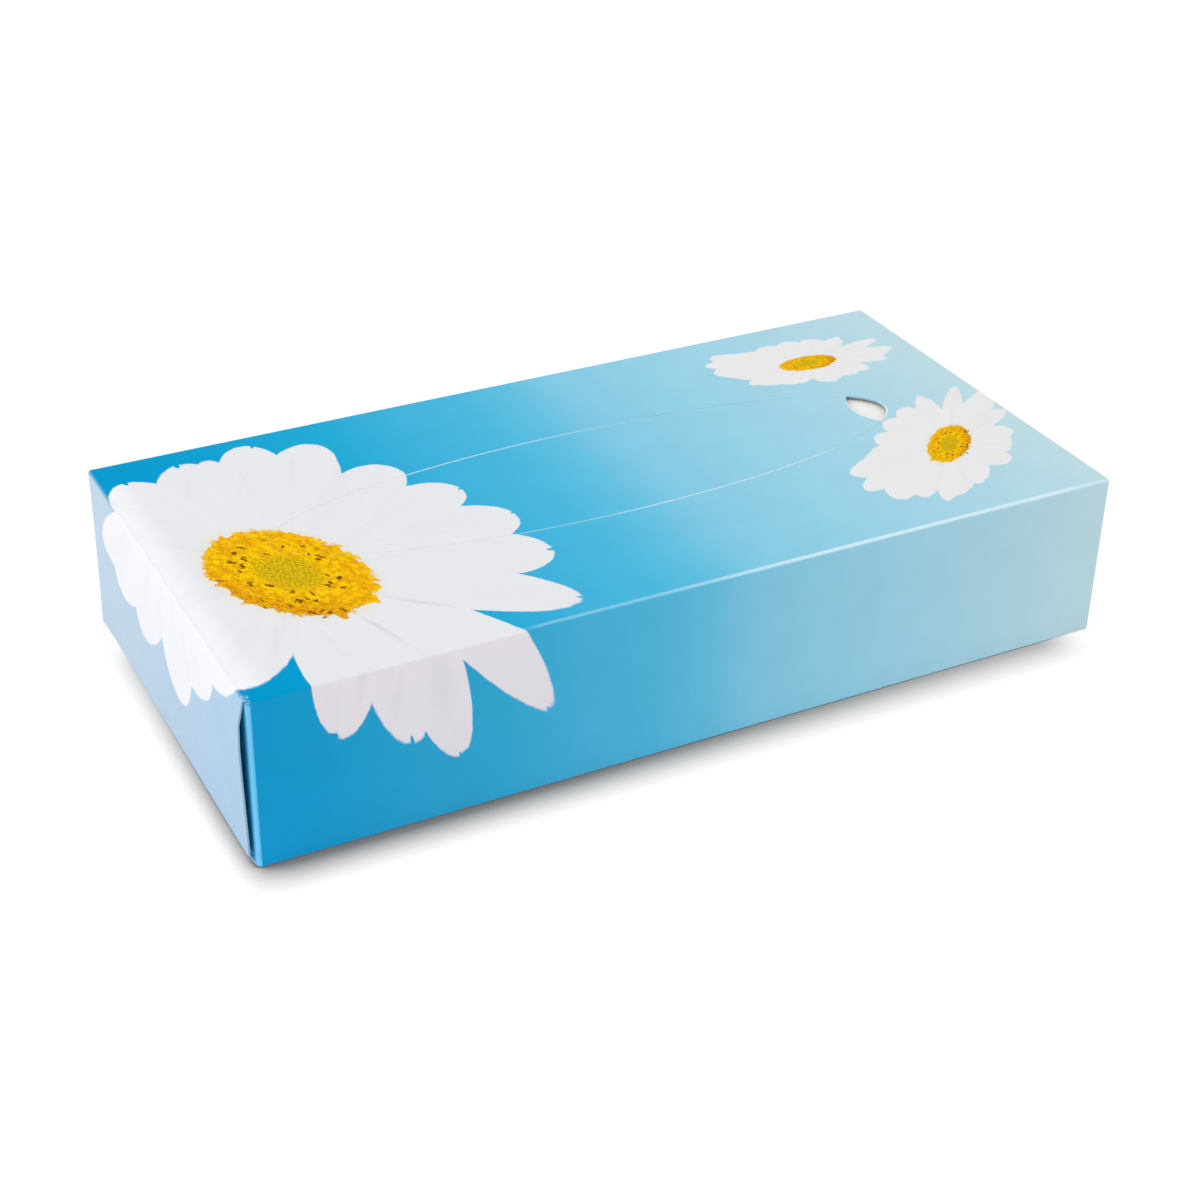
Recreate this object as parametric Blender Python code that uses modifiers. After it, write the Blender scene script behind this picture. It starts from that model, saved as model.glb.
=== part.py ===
"""A flat tissue box: a folded paperboard carton with a tear-off oval in its top,
and the stack of interfolded tissues inside it.

Metres, +Z up. X runs along the box, Y from its front to its back.
The origin is the middle of the underside."""

import math

import bmesh
import bpy
from mathutils import Matrix, Vector

# Outside of the closed carton
LENGTH = 0.230
WIDTH = 0.116
HEIGHT = 0.0445

# Board
BOARD = 0.00045
LAYER_GAP = 0.0003
FOLD_RADIUS = 0.0011
FOLD_STEPS = 5

# Flaps, each measured past its own fold
DUST_FLAP_REACH = 0.038
DUST_FLAP_TAPER = 0.005
INNER_FLAP_REACH = 0.034
INNER_FLAP_TAPER = 0.003
OUTER_FLAP_TAPER = 0.0006
GLUE_FLAP_REACH = 0.014
GLUE_FLAP_TAPER = 0.006
FOOT_CLEARANCE = 0.0005

# Tear-off oval and the thumb hole at its right end
OVAL_LENGTH = 0.174
OVAL_WIDTH = 0.0434
OVAL_SET_BACK = 0.003
OVAL_SIDES = 160
THUMB_REACH = 0.0087
THUMB_BULGE_RADIUS = 0.0106
THUMB_SIDES = 64

# Perforation along the oval
SLIT_LENGTH = 0.0022
SLIT_PITCH = 0.0031
SLIT_WIDTH = 0.0003
OVAL_TRACE_STEPS = 7200

# How far a cutter runs past what it cuts
OVERRUN = 0.002

# Tissue stack and the room round it
END_ROOM = 0.0085
SIDE_ROOM = 0.0028
HEAD_ROOM = 0.0024
REST_GAP = 0.0003
LEAF_BUNDLES = 20
RIDGE_DEPTH = 0.0008
RIDGE_STEPS = 4

# Worked out from the sizes above
LAYER = BOARD + LAYER_GAP
HALF_LENGTH = LENGTH / 2
HALF_WIDTH = WIDTH / 2
BODY_END = HALF_LENGTH - 2 * LAYER - FOLD_RADIUS
TOP_MIDDLE = HEIGHT - BOARD / 2
QUARTER_TURN = math.pi / 2
MERGE_DISTANCE = 0.00005

ALONG = Vector((1, 0, 0))
BACKWARD = Vector((0, 1, 0))
UPWARD = Vector((0, 0, 1))


def clear_scene():
    for thing in list(bpy.data.objects):
        bpy.data.objects.remove(thing, do_unlink=True)


def new_collection(name):
    collection = bpy.data.collections.new(name)
    bpy.context.scene.collection.children.link(collection)
    return collection


def new_material(name, colour, roughness):
    material = bpy.data.materials.new(name)
    material.use_nodes = True
    shader = material.node_tree.nodes["Principled BSDF"]
    shader.inputs["Base Color"].default_value = (*colour, 1)
    shader.inputs["Roughness"].default_value = roughness
    shader.inputs["Metallic"].default_value = 0
    return material


def new_object(name, bm, collection):
    mesh = bpy.data.meshes.new(name)
    bm.to_mesh(mesh)
    bm.free()
    made = bpy.data.objects.new(name, mesh)
    collection.objects.link(made)
    return made


def as_cutter(cutter):
    cutter.hide_render = True
    cutter.display_type = "WIRE"
    return cutter


# Folding the board

def draw_out(bm, edge, step):
    """Carries an edge of the sheet along a straight step. Returns the far edge
    and the side edge at the sheet's end, on which a flap can hinge."""
    made = bmesh.ops.extrude_edge_only(bm, edges=[edge])["geom"]
    verts = [item for item in made if isinstance(item, bmesh.types.BMVert)]
    bmesh.ops.translate(bm, verts=verts, vec=step)
    far = bm.edges.get(verts)
    sides = [link for vert in verts for link in vert.link_edges if link is not far]
    outermost = min(sides, key=lambda side: sum(vert.co.x for vert in side.verts))
    return far, outermost


def bend(bm, edge, heading, turn_to):
    """Rolls an edge of the sheet through a quarter turn, from one heading to another."""
    centre = sum((vert.co for vert in edge.verts), Vector()) / 2 + FOLD_RADIUS * turn_to
    made = bmesh.ops.spin(
        bm,
        geom=[edge],
        cent=centre,
        axis=heading.cross(turn_to),
        dvec=Vector(),
        angle=QUARTER_TURN,
        steps=FOLD_STEPS,
    )["geom_last"]
    return next(item for item in made if isinstance(item, bmesh.types.BMEdge))


def narrow(edge, taper):
    """Draws the two ends of a flap's free edge towards each other."""
    first, last = edge.verts
    inward = (last.co - first.co).normalized() * taper
    first.co += inward
    last.co -= inward


def add_end_flap(bm, hinge, shoulder, inward, reach, taper):
    """A flap at the carton's end: its panel runs on by a shoulder, bends inward
    and reaches down, up or across the end."""
    if shoulder > 0:
        hinge, _ = draw_out(bm, hinge, -ALONG * shoulder)
    bent = bend(bm, hinge, -ALONG, inward)
    free, _ = draw_out(bm, bent, inward * reach)
    narrow(free, taper)


def folded_half():
    """The outer surface of the left half of the carton, walked round from the
    glue flap: glue flap, bottom, front, top and back, then the four end flaps."""
    bm = bmesh.new()
    seam_inside = HALF_WIDTH - LAYER
    across_top = WIDTH - 2 * FOLD_RADIUS
    across_bottom = across_top - LAYER
    upright = HEIGHT - 2 * FOLD_RADIUS
    start = [
        bm.verts.new((end, seam_inside, FOLD_RADIUS + GLUE_FLAP_REACH))
        for end in (0, -BODY_END)
    ]
    glue_edge = bm.edges.new(start)

    edge, _ = draw_out(bm, glue_edge, -UPWARD * GLUE_FLAP_REACH)
    edge = bend(bm, edge, -UPWARD, -BACKWARD)
    edge, bottom_hinge = draw_out(bm, edge, -BACKWARD * across_bottom)
    edge = bend(bm, edge, -BACKWARD, UPWARD)
    edge, front_hinge = draw_out(bm, edge, UPWARD * upright)
    edge = bend(bm, edge, UPWARD, BACKWARD)
    edge, top_hinge = draw_out(bm, edge, BACKWARD * across_top)
    edge = bend(bm, edge, BACKWARD, -UPWARD)
    edge, back_hinge = draw_out(bm, edge, -UPWARD * upright)
    draw_out(bm, edge, -UPWARD * (FOLD_RADIUS - FOOT_CLEARANCE))
    start[1].co.x += GLUE_FLAP_TAPER

    down_to_foot = HEIGHT - FOLD_RADIUS - FOOT_CLEARANCE
    add_end_flap(bm, front_hinge, 0, BACKWARD, DUST_FLAP_REACH, DUST_FLAP_TAPER)
    add_end_flap(bm, back_hinge, 0, -BACKWARD, DUST_FLAP_REACH, DUST_FLAP_TAPER)
    add_end_flap(bm, bottom_hinge, LAYER, UPWARD, INNER_FLAP_REACH, INNER_FLAP_TAPER)
    add_end_flap(bm, top_hinge, 2 * LAYER, -UPWARD, down_to_foot, OUTER_FLAP_TAPER)

    bmesh.ops.recalc_face_normals(bm, faces=bm.faces)
    highest = max(bm.faces, key=lambda face: face.calc_center_median().z)
    if highest.normal.z < 0:
        bmesh.ops.reverse_faces(bm, faces=bm.faces)
    return bm


# Tear-off oval

def oval_cutter(collection):
    """An upright elliptic cylinder, as wide and long as the tear-off oval."""
    bm = bmesh.new()
    bmesh.ops.create_cone(
        bm,
        cap_ends=True,
        segments=OVAL_SIDES,
        radius1=1,
        radius2=1,
        depth=1,
        matrix=Matrix.Diagonal((OVAL_LENGTH / 2, OVAL_WIDTH / 2, BOARD + 2 * OVERRUN, 1)),
    )
    oval = new_object("oval", bm, collection)
    oval.location = (0, OVAL_SET_BACK, TOP_MIDDLE)
    return as_cutter(oval)


def thumb_cutter(oval, collection):
    """What a round punch takes out of the oval's right end: a lens whose outer
    side is the end of the oval and whose inner side bulges to the left."""
    bm = bmesh.new()
    bmesh.ops.create_cone(
        bm,
        cap_ends=True,
        segments=THUMB_SIDES,
        radius1=THUMB_BULGE_RADIUS,
        radius2=THUMB_BULGE_RADIUS,
        depth=BOARD + OVERRUN,
    )
    thumb = new_object("thumb_punch", bm, collection)
    punch_middle = OVAL_LENGTH / 2 - THUMB_REACH + THUMB_BULGE_RADIUS
    thumb.location = (punch_middle, OVAL_SET_BACK, TOP_MIDDLE)
    inside_oval = thumb.modifiers.new("inside_oval", "BOOLEAN")
    inside_oval.operation = "INTERSECT"
    inside_oval.object = oval
    return as_cutter(thumb)


def oval_point(angle):
    return Vector(
        (math.cos(angle) * OVAL_LENGTH / 2, math.sin(angle) * OVAL_WIDTH / 2 + OVAL_SET_BACK, TOP_MIDDLE)
    )


def thumb_tip_angle():
    """The angle round the oval at which the thumb hole's inner arc meets it."""
    punch_middle = Vector(
        (OVAL_LENGTH / 2 - THUMB_REACH + THUMB_BULGE_RADIUS, OVAL_SET_BACK, TOP_MIDDLE)
    )
    step = math.tau / OVAL_TRACE_STEPS
    angle = step
    while (oval_point(angle) - punch_middle).length < THUMB_BULGE_RADIUS:
        angle += step
    return angle


def slit_places():
    """Places and directions of the slits, evenly spaced along the oval from one
    tip of the thumb hole round to the other."""
    first = thumb_tip_angle()
    sweep = math.tau - 2 * first
    trace = [oval_point(first + sweep * i / OVAL_TRACE_STEPS) for i in range(OVAL_TRACE_STEPS + 1)]
    run = [0]
    for before, after in zip(trace, trace[1:]):
        run.append(run[-1] + (after - before).length)
    count = int(run[-1] / SLIT_PITCH)
    places = []
    at = 0
    for i in range(count):
        wanted = run[-1] * (i + 0.5) / count
        while run[at + 1] < wanted:
            at += 1
        places.append((trace[at], trace[at + 1] - trace[at]))
    return places


def perforation_cutter(collection):
    bm = bmesh.new()
    for place, direction in slit_places():
        turn = Matrix.Rotation(math.atan2(direction.y, direction.x), 4, "Z")
        size = Matrix.Diagonal((SLIT_LENGTH, SLIT_WIDTH, BOARD + OVERRUN, 1))
        bmesh.ops.create_cube(bm, size=1, matrix=Matrix.Translation(place) @ turn @ size)
    return as_cutter(new_object("perforation", bm, collection))


# The two pieces

def make_carton(collection, cutters):
    carton = new_object("carton", folded_half(), collection)
    carton.data.materials.append(new_material("printed_board", (0.10, 0.42, 0.70), 0.45))

    other_half = carton.modifiers.new("other_half", "MIRROR")
    other_half.use_axis = (True, False, False)
    other_half.merge_threshold = MERGE_DISTANCE

    thickness = carton.modifiers.new("board", "SOLIDIFY")
    thickness.thickness = BOARD
    thickness.offset = -1
    thickness.use_even_offset = True
    thickness.use_quality_normals = True

    oval = oval_cutter(cutters)
    for name, cutter in (
        ("thumb_hole", thumb_cutter(oval, cutters)),
        ("perforation", perforation_cutter(cutters)),
    ):
        cut = carton.modifiers.new(name, "BOOLEAN")
        cut.operation = "DIFFERENCE"
        cut.object = cutter


def ridge(side_y, first_z, last_z, outward):
    """One rounded bundle of leaf folds on a long side of the stack."""
    middle = (first_z + last_z) / 2
    rise = (last_z - first_z) / 2
    turns = [math.pi * (step + 0.5) / RIDGE_STEPS for step in range(RIDGE_STEPS)]
    return [
        (side_y + outward * RIDGE_DEPTH * math.sin(turn), middle - rise * math.cos(turn))
        for turn in turns
    ]


def stack_outline():
    """The stack's cross-section, anticlockwise as seen from its right end, with
    the folds of the leaves as rounded ridges up its two long sides."""
    bottom = BOARD + REST_GAP
    top = HEIGHT - BOARD - HEAD_ROOM
    side = HALF_WIDTH - LAYER - BOARD - SIDE_ROOM - RIDGE_DEPTH
    levels = [bottom + (top - bottom) * i / LEAF_BUNDLES for i in range(LEAF_BUNDLES + 1)]
    points = []
    for lower, upper in zip(levels, levels[1:]):
        points += ridge(side, lower, upper, 1)
    for upper, lower in zip(levels[::-1], levels[-2::-1]):
        points += ridge(-side, upper, lower, -1)
    return points


def make_tissue_stack(collection):
    """The stack's cross-section as a flat filled curve, drawn out along the box."""
    outline = bpy.data.curves.new("tissue_stack", "CURVE")
    outline.dimensions = "2D"
    outline.fill_mode = "BOTH"
    outline.extrude = LENGTH / 2 - 2 * LAYER - BOARD - END_ROOM
    section = outline.splines.new("POLY")
    points = stack_outline()
    section.points.add(len(points) - 1)
    for point, (across, up) in zip(section.points, points):
        point.co = (across, up, 0, 1)
    section.use_cyclic_u = True
    stack = bpy.data.objects.new("tissue_stack", outline)
    stack.rotation_euler = (QUARTER_TURN, 0, QUARTER_TURN)
    collection.objects.link(stack)
    outline.materials.append(new_material("tissue", (0.93, 0.93, 0.92), 0.95))


clear_scene()
pieces = new_collection("tissue_box")
helpers = new_collection("cutters")
make_carton(pieces, helpers)
make_tissue_stack(pieces)
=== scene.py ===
"""Finishes and finer pieces for the flat tissue box: the folded, printed carton
and the stack of interfolded tissues inside it.

Metres, +Z up. X runs along the box, Y from its front to its back.
Places on the print are millimetres on the flat sheet: u runs along the box from
its left end, v runs backwards from the crease between the front and the top.
The front, the back, the bottom and the flaps lie round the top panel there, as
they do before the sheet is folded."""

import math

import bpy
from mathutils import Matrix, Vector, noise


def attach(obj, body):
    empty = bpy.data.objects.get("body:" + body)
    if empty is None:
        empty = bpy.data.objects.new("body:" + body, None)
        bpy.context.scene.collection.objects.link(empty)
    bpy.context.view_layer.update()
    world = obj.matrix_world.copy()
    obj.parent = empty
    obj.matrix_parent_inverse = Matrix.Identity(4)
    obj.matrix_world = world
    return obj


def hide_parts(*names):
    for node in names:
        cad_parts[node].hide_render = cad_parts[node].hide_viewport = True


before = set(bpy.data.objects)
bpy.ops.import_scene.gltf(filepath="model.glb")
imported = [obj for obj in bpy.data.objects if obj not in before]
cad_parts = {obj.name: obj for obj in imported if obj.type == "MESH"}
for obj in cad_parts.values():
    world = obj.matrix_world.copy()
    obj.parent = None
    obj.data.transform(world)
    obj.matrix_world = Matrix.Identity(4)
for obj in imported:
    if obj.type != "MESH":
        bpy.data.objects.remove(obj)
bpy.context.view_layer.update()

MM = 0.001

# The carton: outer sizes as in its solid, with crisper folds and tighter layers
LENGTH = 0.230
WIDTH = 0.116
HEIGHT = 0.0445
BOARD = 0.00045
LAYER = 0.0005
FOLD_RADIUS = 0.00065
FOLD_STEPS = 6
PANEL_GRID = 0.006
DUST_FLAP_REACH = 0.038
DUST_FLAP_TAPER = 0.005
INNER_FLAP_REACH = 0.034
INNER_FLAP_TAPER = 0.003
INNER_FLAP_NOTCH = 0.004
OUTER_FLAP_TAPER = 0.0006
OUTER_FLAP_NOTCH = 0.0009
OUTER_FLAP_CLEARANCE = 0.0014
OUTER_FLAP_FOOT_SLOPE = 0.0009
OUTER_FLAP_LEAN_RUN = 0.009
CORNER_WEB = 0.0006
GLUE_FLAP_REACH = 0.014
GLUE_FLAP_TAPER = 0.006
FOOT_CLEARANCE = 0.0005

# How far the board stands off a true flat, outwards
TOP_SAG = -0.0003
SIDE_BULGE = 0.0003
FLAP_SPRING = 0.0009
FLAP_FOOT_LEAN = 0.0007

# Tear-off oval, its thumb hole and its perforation
OVAL_LENGTH = 0.174
OVAL_WIDTH = 0.0434
OVAL_SET_BACK = 0.003
THUMB_REACH = 0.0087
THUMB_BULGE_RADIUS = 0.0106
THUMB_SLANT = (-0.0008, 0.00107)
THUMB_STEPS = 40
OVAL_TRACE_STEPS = 7200
SLIT_LENGTH = 0.0023
SLIT_WIDTH = 0.00004
SLIT_PITCH = 0.0031
CUT_DEPTH = 0.004

# Tissue stack
LEAVES = 26
LEAF_ACROSS = 0.1072
LEAF_ALONG = 0.2085
LEAF_GRID_ALONG = 30
LEAF_GRID_ACROSS = 14
STACK_FOOT = 0.0009
STACK_TOP = 0.0429
STACK_SEED = 7
LEAF_FILL = 0.94
LEAF_DRIFT = (0.0004, 0.0005, 0)
# Waves of the top leaves: how often along and across, at which depth of the noise, how high
STACK_WAVES = ((28, 40, 3.1, 0.0006), (70, 90, 8.7, 0.0002))
THUMB_SPOT = (0.081, 0.003)
THUMB_SPOT_REACH = 0.022
THUMB_SPOT_RISE = 0.0004

# Camera: where it looks from and at, its lens and the width of its film in millimetres
CAMERA_AZIMUTH = -28.0226
CAMERA_ELEVATION = 31.4561
CAMERA_ROLL = -1.2072
CAMERA_DISTANCE = 0.5553359
CAMERA_AIM = (-0.0110177, -0.0213062, 0.02225)
LENS = 67.1685
FILM_WIDTH = 36

# Light: the sky's colour and strength, each softbox's place, power, width and height, and
# their aim
SKY_COLOUR = (0.98, 0.99, 1, 1)
SKY_STRENGTH = 0.80
SOFTBOXES = (
    ("left_softbox", (-1.2, 0.25, 0.9), 7, 1.2, 1.0),
    ("front_softbox", (-0.1, -1.6, 0.4), 2.6, 1.6, 0.6),
)
SOFTBOX_AIM = (0, 0, 0.02)

HALF_LENGTH = LENGTH / 2
HALF_WIDTH = WIDTH / 2
BODY_END = HALF_LENGTH - FOLD_RADIUS
TOP_MIDDLE = HEIGHT - BOARD / 2
PUNCH_MIDDLE = OVAL_LENGTH / 2 - THUMB_REACH + THUMB_BULGE_RADIUS


# Shader building

class Wire:
    """One output of a shader node, which numbers and other wires can be reckoned with."""

    def __init__(self, finish, socket):
        self.finish = finish
        self.socket = socket

    def reckon(self, operation, *terms):
        return self.finish.add("ShaderNodeMath", {"operation": operation}, terms)

    def __add__(self, other):
        return self.reckon("ADD", self, other)

    def __radd__(self, other):
        return self.reckon("ADD", other, self)

    def __sub__(self, other):
        return self.reckon("SUBTRACT", self, other)

    def __rsub__(self, other):
        return self.reckon("SUBTRACT", other, self)

    def __mul__(self, other):
        return self.reckon("MULTIPLY", self, other)

    def __rmul__(self, other):
        return self.reckon("MULTIPLY", other, self)

    def __truediv__(self, other):
        return self.reckon("DIVIDE", self, other)

    def least(self, other):
        return self.reckon("MINIMUM", self, other)

    def most(self, other):
        return self.reckon("MAXIMUM", self, other)

    def size(self):
        return self.reckon("ABSOLUTE", self)

    def root(self):
        return self.reckon("SQRT", self)

    def rise(self, low, high):
        """0 up to low and 1 from high on, with a soft step between. high may be the lower."""
        ends = (low, high, 0, 1) if low < high else (high, low, 1, 0)
        return self.finish.add(
            "ShaderNodeMapRange",
            {"interpolation_type": "SMOOTHSTEP"},
            (self, *ends),
        )


class Finish:
    """A material, or the sky, being put together."""

    def __init__(self, owner):
        owner.use_nodes = True
        self.owner = owner
        self.tree = owner.node_tree
        self.tree.nodes.clear()

    def add(self, kind, settings, values, output=0):
        """Adds a node: its settings come first, then the values or wires of its sockets."""
        node = self.tree.nodes.new(kind)
        for name, setting in settings.items():
            if name == "stops":
                set_stops(node.color_ramp, setting)
            else:
                setattr(node, name, setting)
        places = values.items() if isinstance(values, dict) else enumerate(values)
        for place, value in places:
            if isinstance(value, Wire):
                self.tree.links.new(value.socket, node.inputs[place])
            else:
                node.inputs[place].default_value = value
        return Wire(self, node.outputs[output]) if node.outputs else None

    def blend(self, factor, first, second):
        return self.add(
            "ShaderNodeMix", {"data_type": "RGBA"}, {0: factor, 6: first, 7: second}, output=2
        )

    def vector(self, operation, *terms):
        return self.add("ShaderNodeVectorMath", {"operation": operation}, terms)

    def tone(self, colour, level):
        """The same colour, lighter or darker by a level."""
        return self.add(
            "ShaderNodeVectorMath", {"operation": "SCALE"}, {"Vector": colour, "Scale": level}
        )

    def join(self, x, y, z=0):
        return self.add("ShaderNodeCombineXYZ", {}, (x, y, z))

    def part_of(self, vector, axis):
        return self.add("ShaderNodeSeparateXYZ", {}, (vector,), output=axis)

    def length(self, vector):
        return self.add("ShaderNodeVectorMath", {"operation": "LENGTH"}, (vector,), "Value")

    def grain(self, place, scale, detail=2, roughness=0.5, output=0):
        return self.add(
            "ShaderNodeTexNoise",
            {"noise_dimensions": "3D"},
            {"Vector": place, "Scale": scale, "Detail": detail, "Roughness": roughness},
            output,
        )

    def bump(self, height, strength, distance):
        return self.add(
            "ShaderNodeBump", {}, {"Height": height, "Strength": strength, "Distance": distance}
        )

    def close(self, **sockets):
        """Ends the material in a Principled shader. Socket names have _ for a space."""
        values = {name.replace("_", " "): value for name, value in sockets.items()}
        shader = self.add("ShaderNodeBsdfPrincipled", {}, values)
        self.add("ShaderNodeOutputMaterial", {}, {"Surface": shader})
        return self.owner


def set_stops(ramp, stops):
    while len(ramp.elements) < len(stops):
        ramp.elements.new(1)
    for element, (place, colour) in zip(ramp.elements, stops):
        element.position = place
        element.color = colour


def paint(red, green, blue):
    """A colour given as 0 to 255 on a screen, as the linear colour that a shader takes."""
    def linear(part):
        part /= 255
        return part / 12.92 if part <= 0.04045 else ((part + 0.055) / 1.055) ** 2.4
    return (linear(red), linear(green), linear(blue), 1)


# Print

# Field colour along the box: place u, colour
FIELD_START = -50
FIELD_END = 280
FIELD = (
    (-2, (0, 153, 207)),
    (30, (10, 162, 211)),
    (60, (32, 172, 215)),
    (82, (66, 181, 222)),
    (100, (77, 187, 224)),
    (114, (100, 195, 228)),
    (128, (134, 205, 231)),
    (160, (156, 214, 234)),
    (195, (176, 219, 234)),
    (232, (198, 226, 233)),
)
# Painted sheen: the front is painted a little greyer, as its varnish would look when catching the
# room's light
FRONT_PAINTED_SHEEN = (150, 152, 156)
# Painted highlight on the rounded fold at the front's left edge
FOLD_GLINT = (122, 205, 250)
END_FIELD_BACK = (192, 210, 226)
END_FIELD_FRONT = (176, 204, 227)
# Painted highlight: petals by the left fold are painted brighter
PETAL_FOLD_HIGHLIGHT = (252, 252, 254)
PETAL_LEFT = (236, 236, 240)
PETAL_RIGHT = (240, 239, 239)
PETAL_FRONT = (236, 230, 235)
PETAL_SHADE = (150, 148, 155)
BOTTOM_FIELD = (226, 236, 241)
# Perforation: the pale lip is cracked ink with a painted highlight, and the dark line is a painted
# shadow in the slits
LIP_INK_AND_HIGHLIGHT = (226, 248, 253)
SLIT_PAINTED_SHADOW = (70, 130, 165)
TORN_RIM = (250, 252, 252)
# Cracked ink on the folds, and a painted highlight on the fold between the front and the top
CRACKED_INK_AND_HIGHLIGHT = (238, 252, 255)
FLUFFED_BOARD = (222, 228, 232)

# Colours of a disc: its halo, its florets, their darker side, edges, flecks and pits, its core
DISC_HALO = (226, 224, 150)
FLORET_ORANGE = (253, 184, 12)
FLORET_YELLOW = (255, 214, 16)
INNER_FLORET = (255, 213, 10)
DARK_SIDE = (222, 142, 24)
FLORET_EDGE = (216, 138, 8)
FLECK = (186, 104, 8)
PIT = (112, 60, 2)
CORE_DARK = (184, 150, 14)
CORE_LIGHT = (236, 200, 24)

# Bands across a disc, in shares of its reach: where a mask is 0 and where it is 1
PETALS_MEET = (1.32, 1.27)
HALO_BAND = (1.2, 1.0)
DISC_EDGE = (1.02, 0.97)
SURE_DISC = (0.9, 0.8)
INNER_FLORETS = (0.8, 0.5)
DARK_BAND = (0.5, 0.95)
PITS_START = (0.33, 0.42)
PITS_END = (0.82, 0.66)
CORE_BAND = (0.46, 0.27)

# Flowers: petals as middle u, middle v, turn in degrees, half length, half width
BIG_PETALS = (
    (37.1, 93.5, 87, 17.8, 9.1), (40.9, 75.5, 63, 32.0, 10.4), (60.8, 79.1, 40, 10.3, 8.9),
    (70.2, 65.6, 4, 10.1, 8.3), (71.9, 49.2, -2, 14.9, 10.3), (75.7, 33.5, -24, 12.2, 9.6),
    (57.9, 26.2, -38, 32.0, 9.6), (43.7, 21.4, -57, 51.3, 8.6), (43.0, -3.7, -76, 25.8, 7.1),
    (36.2, 13.2, -87, 34.5, 11.0), (23.2, 6.5, -95, 22.0, 8.3), (10.2, 34.1, -109, 30.0, 14.8),
    (-7.5, 32.2, -161, 9.6, 13.3), (9.2, 43.5, -169, 26.2, 9.9), (-11.7, 47.0, 176, 16.6, 11.4),
    (-4.9, 62.1, 144, 24.8, 10.8), (-6.9, 80.7, 137, 19.3, 11.3), (1.5, 64.6, 112, 42.7, 10.7),
    (9.3, 89.5, 107, 15.8, 9.0), (22.5, 86.4, 95, 22.1, 11.3), (26.4, 80.3, 87, 27.4, 7.9),
    (49.1, 94.8, 60, 11.8, 8.4), (49.8, 59.2, 28, 25.5, 11.9), (53.6, 38.9, -20, 30.9, 11.0),
    (13.0, 75.0, 118, 20.0, 8.0), (48.0, 60.0, 0, 16.0, 16.0),
)
BACK_PETALS = (
    (209.1, 91.6, -5, 15.1, 3.1), (208.9, 94.0, 12, 14.7, 2.5), (205.2, 95.7, 35, 10.8, 3.3),
    (202.2, 98.5, 47, 7.5, 4.9), (198.1, 100.1, 85, 6.1, 5.3), (193.3, 98.9, 122, 7.8, 5.2),
    (189.0, 97.9, 141, 9.4, 5.2), (182.8, 100.4, 150, 10.5, 3.8), (179.8, 99.2, 164, 9.8, 3.1),
    (181.7, 92.6, 153, 12.2, 5.1), (186.1, 89.0, -171, 10.7, 2.9), (188.0, 89.2, -164, 10.4, 4.9),
    (190.8, 88.1, -147, 7.8, 5.6), (197.2, 86.3, -81, 7.3, 5.2), (202.4, 86.8, -50, 7.2, 5.5),
    (204.3, 87.7, -44, 8.9, 3.9), (206.8, 90.0, -21, 13.2, 2.9), (209.1, 90.2, -4, 13.4, 3.9),
)
FRONT_PETALS = (
    (214.3, 46.9, 53, 19.2, 2.8), (209.5, 47.9, 72, 13.3, 3.7), (205.0, 49.3, 86, 7.7, 4.8),
    (200.3, 43.5, 108, 9.9, 6.1), (193.3, 42.0, 143, 5.7, 5.2), (193.1, 36.4, 171, 10.3, 5.3),
    (191.3, 33.6, -175, 12.6, 7.4), (181.5, 32.4, -168, 9.1, 4.6), (180.2, 26.9, -152, 9.8, 3.8),
    (182.9, 24.2, -125, 11.2, 5.3), (190.1, 23.1, -130, 12.5, 4.6), (193.0, 17.2, -131, 10.4, 2.8),
    (195.0, 18.5, -122, 8.9, 5.0), (203.4, 24.5, -116, 11.9, 5.3), (209.4, 26.2, -62, 7.6, 5.5),
    (214.8, 31.3, -28, 6.2, 7.4), (214.9, 33.6, 7, 9.5, 4.8), (216.0, 39.6, 20, 14.9, 3.3),
    (217.3, 43.1, 40, 20.0, 4.6),
)
# Small notches in the tips of the big flower's petals
BIG_NOTCHES = (
    (41.3, 111.0, 77, 2.0, 0.6), (20.4, 108.8, 96, 2.0, 0.8), (5.9, 105.4, 110, 2.0, 0.7),
    (-16.6, 106.7, 126, 2.0, 0.5), (-22.7, 96.4, 136, 2.0, 0.7), (19.6, -15.3, 264, 2.0, 0.5),
    (37.7, -21.5, 279, 2.0, 0.5), (41.2, -21.5, 281, 2.0, 0.4), (49.6, -29.4, 286, 2.0, 0.4),
    (72.1, -23.3, 303, 2.0, 0.4), (84.2, 7.4, 325, 2.0, 0.5), (87.8, 30.3, 344, 2.0, 0.7),
    (87.8, 50.6, 3, 2.0, 0.6), (81.1, 67.6, 20, 2.0, 0.6), (71.8, 83.4, 38, 2.0, 0.6),
    (18.3, -14.6, -10, 2.4, 1.4), (36.2, -22.7, -12, 1.8, 1.2), (51.2, -28.8, 12, 1.9, 1.5),
    (73.1, -23.5, 15, 1.9, 1.4),
)
# Soft grey creases between the big flower's petals, as narrow petals with a strength
BIG_CREASES = (
    (14.5, 21, 70, 9, 1.3, 0.07), (25.5, 13, 95, 15, 1.2, 0.05), (38.5, 11, 108, 15, 1.6, 0.07),
    (47.5, 24, 135, 9, 1.0, 0.06), (26, -3, 82, 7, 1.5, 0.09), (34.5, -9, 80, 10, 1.6, 0.07),
    (45, -8, 98, 13, 4.2, 0.09), (19.5, 97, 75, 10, 1.4, 0.04), (46, 94, 72, 14, 1.8, 0.04),
    (33, 92, 84, 14, 1.5, 0.03), (50, 21.3, -40, 12, 0.8, 0.16), (37, 16.2, -72, 9, 0.9, 0.16),
)


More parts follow.
